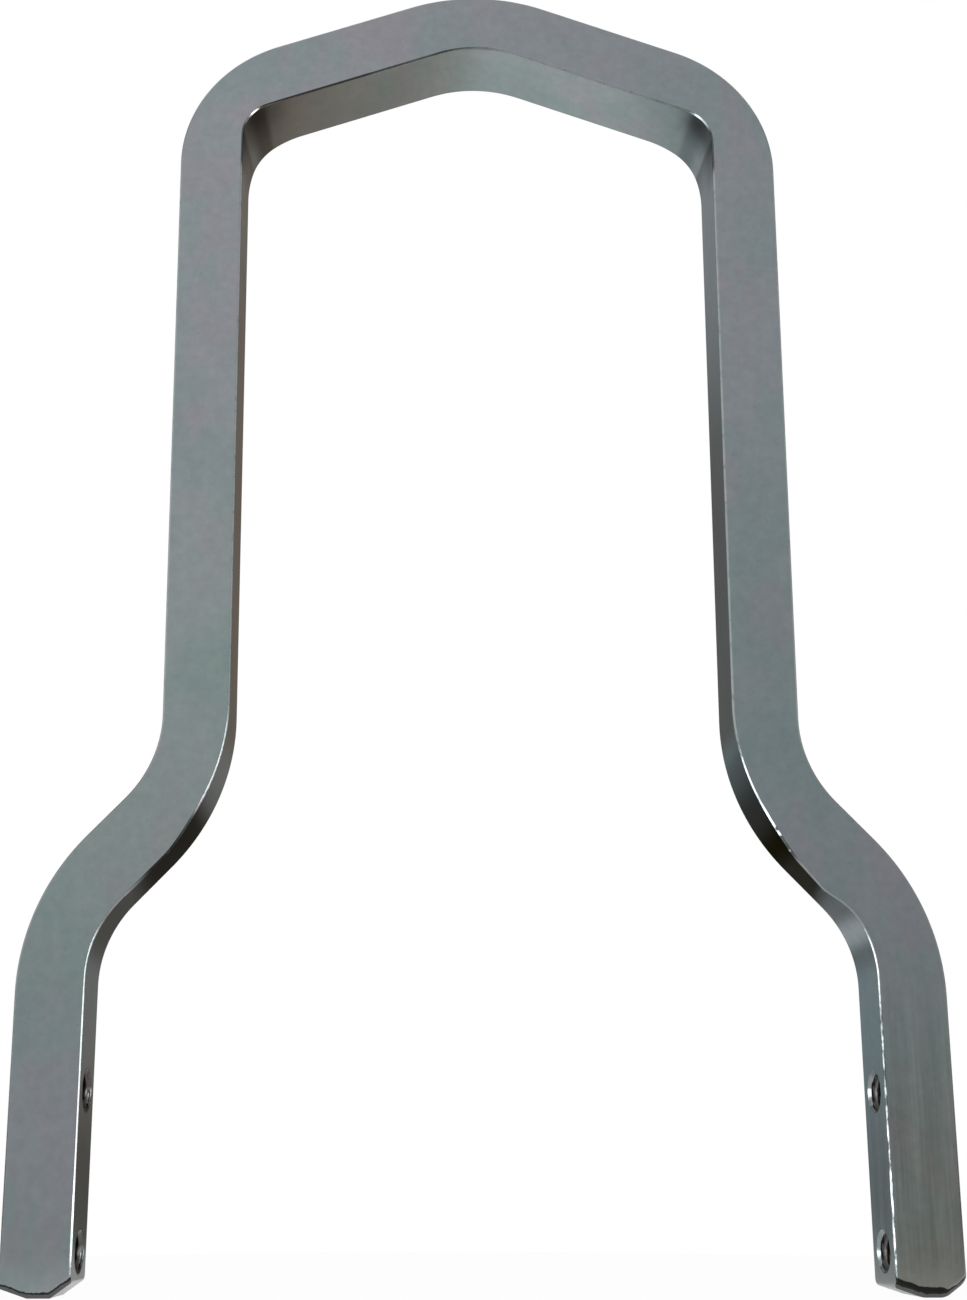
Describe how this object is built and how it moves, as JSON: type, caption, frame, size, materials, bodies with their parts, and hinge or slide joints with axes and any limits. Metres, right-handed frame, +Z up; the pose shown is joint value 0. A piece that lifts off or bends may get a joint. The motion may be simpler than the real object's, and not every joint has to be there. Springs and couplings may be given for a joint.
{
  "type": "sissy bar",
  "caption": "Gabled backrest hoop of bent square steel bar, chrome plated, with legs that jog outwards and tapped holes near the feet for side plates.",
  "frame": {"origin": "under the middle of the hoop, level with the feet, in the middle of the bar's depth", "axes": "+Z up towards the peak, +X to the right across the two legs, -Y the front of the hoop"},
  "size_m": [0.214, 0.0158, 0.333],
  "materials": {
    "chrome": "soft, slightly hazy chrome plate over ground and bent square bar"
  },
  "bodies": {
    "root": {"hoop": "chrome"}
  },
  "joints": []
}
